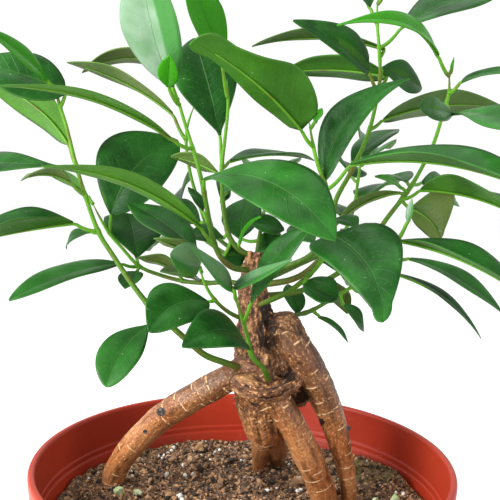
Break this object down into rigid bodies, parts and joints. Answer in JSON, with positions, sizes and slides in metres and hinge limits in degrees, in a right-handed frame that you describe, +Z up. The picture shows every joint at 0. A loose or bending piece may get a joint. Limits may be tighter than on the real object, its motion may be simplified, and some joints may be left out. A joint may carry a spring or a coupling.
{
  "type": "potted ginseng ficus",
  "caption": "Small ficus with swollen aerial roots standing like legs in potting mix, leafy shoots above, in a round plastic nursery pot.",
  "frame": {"origin": "middle of the pot's flat underside, which stands on the surface", "axes": "+Z up through the pot and trunk, -Y towards the front, where the two thick legs show, +X to the right seen from the front"},
  "size_m": [0.2115, 0.1561, 0.2983],
  "materials": {
    "pot_plastic": "satin",
    "potting_mix": "matt, crumbly",
    "bark": "matt with pale raised scars",
    "foliage": "waxy gloss above, duller beneath"
  },
  "bodies": {
    "root": {"pot": "pot_plastic", "potting_mix": "potting_mix", "trunk_and_roots": "bark", "shoot_back_left": "foliage", "shoot_back_middle": "foliage", "shoot_back_right": "foliage", "shoot_centre": "foliage", "shoot_centre_left": "foliage", "shoot_far_right": "foliage", "shoot_left": "foliage", "shoot_left_back": "foliage", "shoot_right_centre": "foliage", "shoot_right_front": "foliage", "shoot_right_low": "foliage", "shoot_right_tall": "foliage", "shoot_thin_back": "foliage", "sprig_front": "foliage", "sprig_left_low": "foliage"}
  },
  "joints": []
}
